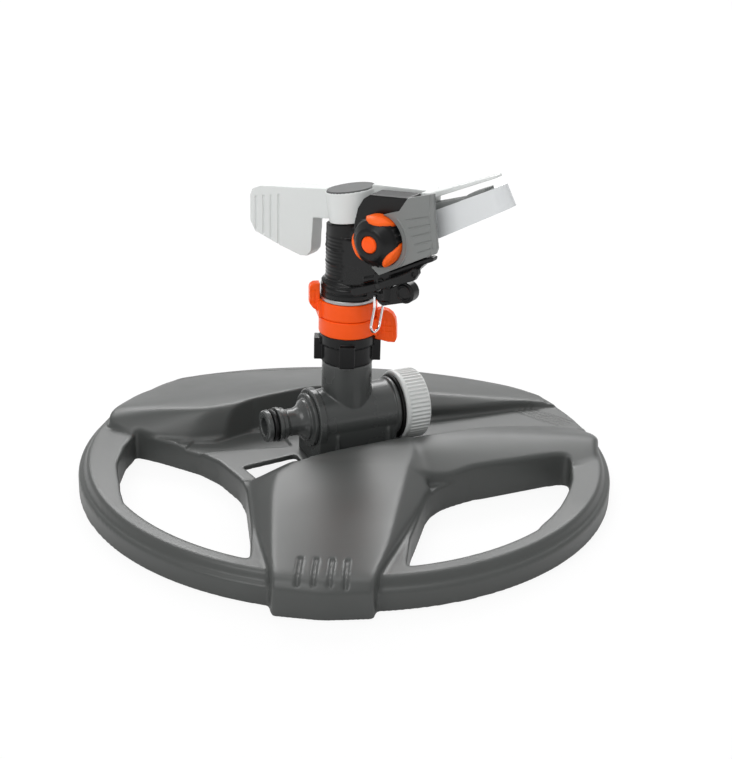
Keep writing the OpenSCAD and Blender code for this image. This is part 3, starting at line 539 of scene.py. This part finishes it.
# ---------------------------------------------------------------- CAD parts
# CAD node, voxel size, smoothing rounds, material, slot, body it rides on
MOULDED = [
    ("tee_body", 0.38, 4, "tee", "sled_plastic", "base"),
    ("hose_nipple", 0.28, 3, "tee", "sled_plastic", "base"),
    ("end_cap", 0.25, 2, "cap", "cap_plastic", "cap"),
    ("bearing_nut", 0.3, 3, "black", "black_plastic", "base"),
    ("lower_arc_collar", 0.25, 3, "orange", "orange_plastic", "lower_collar"),
    ("upper_arc_collar", 0.25, 3, "orange", "orange_plastic", "upper_collar"),
    ("head_body", 0.33, 3, "black", "black_plastic", "head"),
    ("side_panel", 0.22, 3, "panel", "panel_plastic", "head"),
    ("knob_shell", 0.24, 3, "black", "black_plastic", "knob"),
    ("knob_pads", 0.22, 3, "pad", "orange_plastic", "knob"),
    ("knob_button", 0.2, 3, "orange", "orange_plastic", "knob"),
    ("trip_lever", 0.24, 4, "black", "black_plastic", "lever"),
    ("reversing_bar", 0.22, 3, "black", "black_plastic", "bar"),
    ("drive_arm", 0.3, 3, "arm", "arm_plastic", "arm"),
    ("deflector_bracket", 0.22, 3, "panel", "panel_plastic", "arm"),
]
coarsen = 1.0
for node, voxel, smoothing, material, slot, body in MOULDED:
    soften(node, voxel * coarsen, smoothing, material, body)

# pieces that keep their CAD mesh
CAD_MATERIALS = {
    "base_screws": "steel", "nipple_o_ring": "rubber", "inlet_filter": "filter",
    "cap_seal": "rubber", "thrust_washers": "nylon", "bearing_stem": "brass",
    "stem_seal": "rubber", "bearing_spring": "steel", "friction_ring": "ring",
    "nozzle_insert": "black", "knob_shaft": "black", "lever_pin": "steel",
    "toggle_spring": "steel", "trip_hoop": "wire", "bar_pin": "black", "hub_disc": "disc",
    "arm_pin": "steel", "arm_spring": "steel", "arm_washer": "nylon", "jet_deflector": "chrome",
}
for node, material in CAD_MATERIALS.items():
    dress(NODES[node].data, material, sharp_angle=32)


# ---------------------------------------------------------------- stage, light, camera
def floor_material():
    """White paper that glows for the camera only."""
    material = plastic("floor_white", (0.93, 0.93, 0.93), rough=0.7, vary=0.004, grain=0.0, spec=0.1)
    tree = material.node_tree
    output = tree.nodes["Material Output"]
    paper = tree.nodes["Principled BSDF"]
    glow = add_node(tree, "Emission", {"Color": WHITE})
    path = add_node(tree, "LightPath")
    share = add_node(tree, "Math", {0: path.outputs["Is Camera Ray"], 1: 0.9},
                     operation="MULTIPLY")
    mix = add_node(tree, "MixShader",
                   {0: share.outputs[0], 1: paper.outputs[0], 2: glow.outputs[0]})
    feed(tree, output, {0: mix.outputs[0]})
    return material


def add_floor():
    material = floor_material()
    bm = bmesh.new()
    bmesh.ops.create_grid(bm, x_segments=8, y_segments=8, size=6.0)
    mesh = bpy.data.meshes.new("floor")
    bm.to_mesh(mesh)
    bm.free()
    floor = link_object("floor", mesh)
    floor.location.z = -0.0002
    mesh.materials.append(material)


def add_world():
    """White surroundings, a little brighter overhead, and brighter still to the camera."""
    world = bpy.data.worlds.new("studio")
    bpy.context.scene.world = world
    world.use_nodes = True
    tree = world.node_tree
    place = add_node(tree, "TexCoord")
    split = add_node(tree, "SeparateXYZ", {0: place.outputs["Generated"]})
    ambient = add_node(tree, "MapRange", {
        "Value": split.outputs["Z"], "From Min": 0.0, "From Max": 0.75,
        "To Min": 0.5, "To Max": 0.6})
    path = add_node(tree, "LightPath")
    strength = add_node(tree, "Mix", {
        0: path.outputs["Is Camera Ray"], 2: ambient.outputs["Result"], 3: 1.02},
        data_type="FLOAT")
    feed(tree, tree.nodes["Background"], {0: WHITE, 1: strength.outputs[0]})


def area_light(name, at, size, power, target=(0, 0, 0.05), size_y=None):
    light = bpy.data.lights.new(name, "AREA")
    light.energy = power
    light.size = size
    if size_y:
        light.shape = "RECTANGLE"
        light.size_y = size_y
    lamp = link_object(name, light)
    lamp.location = at
    lamp.rotation_mode = "QUATERNION"
    lamp.rotation_quaternion = (Vector(target) - Vector(at)).to_track_quat("-Z", "Y")


def add_camera():
    lens = bpy.data.cameras.new("camera")
    camera = link_object("camera", lens)
    lens.sensor_width = 36.0
    lens.lens = 76.1454545
    lens.clip_start = 0.01
    lens.clip_end = 30
    right = Vector((0.9090154867, -0.4161443902, 0.02268681007))
    up = Vector((0.1438598066, 0.3644025499, 0.9200625727))
    forward = Vector((0.3911460097, 0.8330874073, -0.3911140127))
    turn = Matrix((right, up, -forward)).transposed().to_4x4()
    at = (-0.28186480546, -0.62136751475, 0.33961533574)
    camera.matrix_world = Matrix.Translation(at) @ turn
    bpy.context.scene.camera = camera


add_floor()
add_world()
area_light("key", at=(-1.1, -0.7, 1.4), size=1.1, power=13)
area_light("fill", at=(1.2, -1.0, 0.9), size=1.2, power=0.7)
area_light("back", at=(0.52, 1.1, 0.98), target=(-0.02, -0.04, 0.02), size=1.7, size_y=0.5, power=19)
area_light("top", at=(0.1, 0.3, 1.8), size=1.2, power=6.2)
add_camera()
bpy.context.scene.view_settings.view_transform = "Standard"
